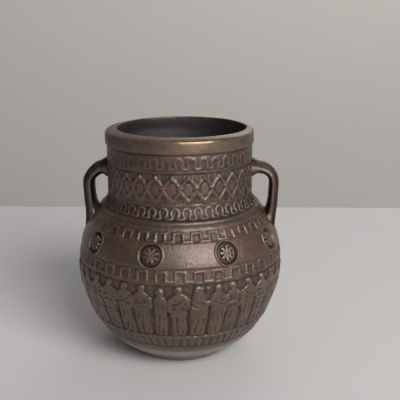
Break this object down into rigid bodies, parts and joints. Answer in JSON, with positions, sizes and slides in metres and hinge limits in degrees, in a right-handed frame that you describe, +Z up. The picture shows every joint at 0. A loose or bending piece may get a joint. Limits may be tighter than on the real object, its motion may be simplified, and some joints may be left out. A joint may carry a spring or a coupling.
{
  "type": "amphora vase",
  "caption": "Small cast bronze vase in amphora form, with a round belly, a straight neck, a thick lip ring, strap handles at the sides, raised ornament bands and rosette bosses.",
  "frame": {"origin": "centre of the foot ring, on the surface that the vase stands on", "axes": "+Z up along the vase's axis, -Y towards the viewer of the front, the handles lie along -X and +X"},
  "size_m": [0.0994, 0.0994, 0.11],
  "materials": {
    "cast_bronze": "brown patina, dark in the recesses and worn brassy on raised lines",
    "worn_bronze": "satin, golden where hands have worn the lip",
    "dark_bronze": "unpolished, nearly black cast skin"
  },
  "bodies": {
    "root": {"belly_shell": "cast_bronze", "neck_collar": "cast_bronze", "lip_ring": "worn_bronze", "base_plate": "dark_bronze", "handle_left": "cast_bronze", "handle_right": "cast_bronze", "root_rivet_left": "dark_bronze", "root_rivet_right": "dark_bronze", "foot_rivet_left": "dark_bronze", "foot_rivet_right": "dark_bronze", "rosette_1": "cast_bronze", "rosette_2": "cast_bronze", "rosette_3": "cast_bronze", "rosette_4": "cast_bronze", "rosette_5": "cast_bronze", "rosette_6": "cast_bronze", "rosette_7": "cast_bronze", "rosette_8": "cast_bronze"}
  },
  "joints": []
}
